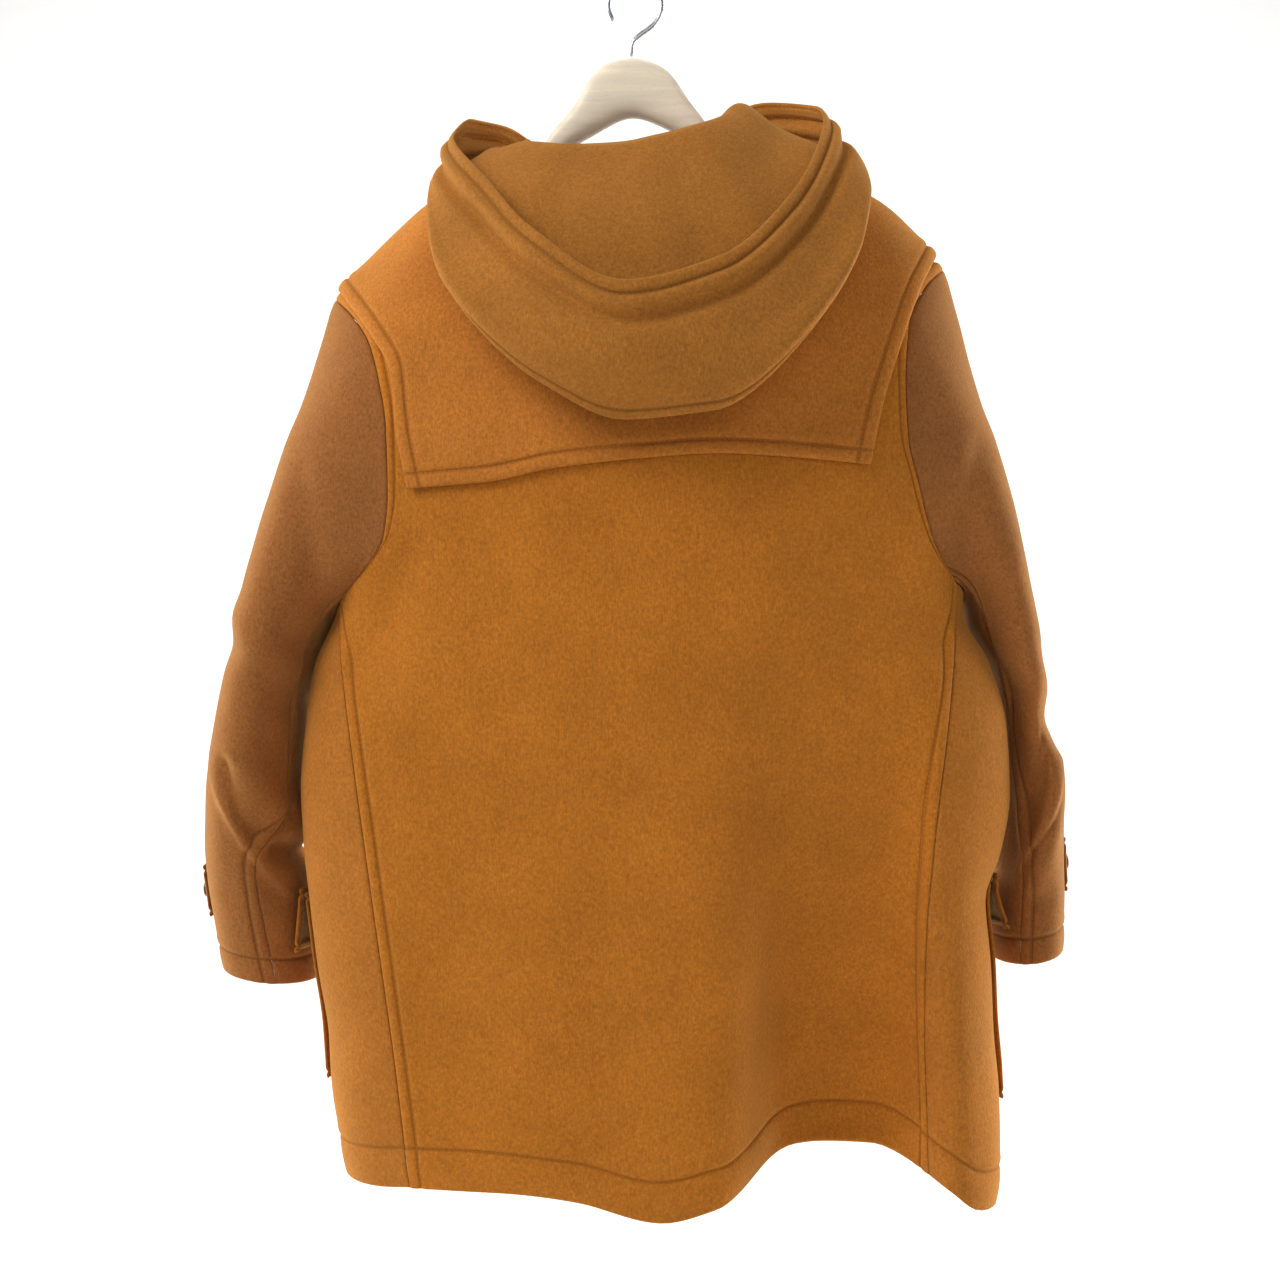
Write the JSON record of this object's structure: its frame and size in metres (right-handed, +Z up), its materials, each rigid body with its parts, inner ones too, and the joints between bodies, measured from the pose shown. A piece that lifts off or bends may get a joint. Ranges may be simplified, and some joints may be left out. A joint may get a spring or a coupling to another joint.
{
  "type": "hooded duffle coat on a wooden hanger",
  "caption": "Hooded woollen coat with toggle front, shoulder yoke, patch pockets and two-piece sleeves, hung on a contoured wooden hanger by its wire hook.",
  "frame": {"origin": "inside top of the hanger's hook, where it rests on a rail", "axes": "+Z up, the back of the coat faces -Y, the wearer's right is +X"},
  "size_m": [0.7403, 0.3055, 0.9964],
  "materials": {
    "back_wool": "brushed wool melton",
    "front_wool": "brushed wool melton",
    "yoke_wool": "brushed wool melton",
    "sleeve_wool": "brushed wool melton",
    "hood_wool": "brushed wool melton",
    "flap_wool": "brushed wool melton",
    "button_horn": "satin dark horn",
    "patch_leather": "matt brown leather",
    "toggle_cord": "twisted cord",
    "toggle_wood": "satin brown wood",
    "hanger_beech": "satin lacquered beech",
    "hanger_steel": "bright zinc-plated wire"
  },
  "bodies": {
    "root": {"back": "back_wool", "front_left": "front_wool", "front_right": "front_wool", "yoke_back": "yoke_wool", "yoke_front_left": "yoke_wool", "yoke_front_right": "yoke_wool", "sleeve_left_upper": "sleeve_wool", "sleeve_left_under": "sleeve_wool", "sleeve_right_upper": "sleeve_wool", "sleeve_right_under": "sleeve_wool", "cuff_tab_left": "flap_wool", "cuff_tab_right": "flap_wool", "cuff_button_left": "button_horn", "cuff_button_right": "button_horn", "hood_under": "hood_wool", "hood_outer": "hood_wool", "pocket_left": "front_wool", "pocket_right": "front_wool", "flap_left": "flap_wool", "flap_right": "flap_wool", "patch_left_1": "patch_leather", "patch_left_2": "patch_leather", "patch_left_3": "patch_leather", "patch_right_1": "patch_leather", "patch_right_2": "patch_leather", "patch_right_3": "patch_leather", "tie_cord_1": "toggle_cord", "tie_cord_2": "toggle_cord", "tie_cord_3": "toggle_cord", "loop_cord_1": "toggle_cord", "loop_cord_2": "toggle_cord", "loop_cord_3": "toggle_cord", "toggle_1": "toggle_wood", "toggle_2": "toggle_wood", "toggle_3": "toggle_wood", "hanger_body": "hanger_beech", "hanger_hook": "hanger_steel"}
  },
  "joints": []
}
